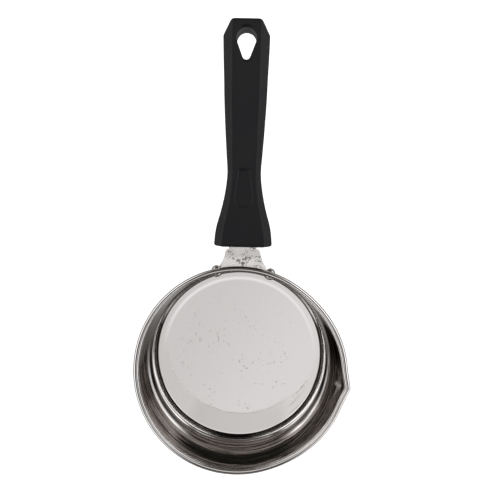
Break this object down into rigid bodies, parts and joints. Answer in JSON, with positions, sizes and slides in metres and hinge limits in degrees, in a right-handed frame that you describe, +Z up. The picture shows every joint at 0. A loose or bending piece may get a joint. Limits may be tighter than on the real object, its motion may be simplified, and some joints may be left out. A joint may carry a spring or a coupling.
{
  "type": "candle melting pot",
  "caption": "Small polished steel pouring pot with a pressed spout, a riveted bracket and a black moulded handle with a hanging hole.",
  "frame": {"origin": "centre of the pot's flat base, on the table plane", "axes": "+Z up along the pot's axis, +Y along the handle away from the pot, spout 8 degrees from +X towards -Y"},
  "size_m": [0.1255, 0.2563, 0.0783],
  "materials": {
    "polished_steel": "mirror polished stainless steel",
    "bracket_steel": "tumbled stamped steel with stains",
    "rivet_steel": "satin",
    "handle_plastic": "fine satin moulded phenolic",
    "screw_steel": "zinc plated",
    "insert_brass": "turned"
  },
  "bodies": {
    "root": {"pot_body": "polished_steel", "handle_bracket": "bracket_steel", "bracket_rivets": "rivet_steel", "handle_grip": "handle_plastic", "handle_screw": "screw_steel", "lock_washer": "screw_steel", "threaded_insert": "insert_brass"}
  },
  "joints": []
}
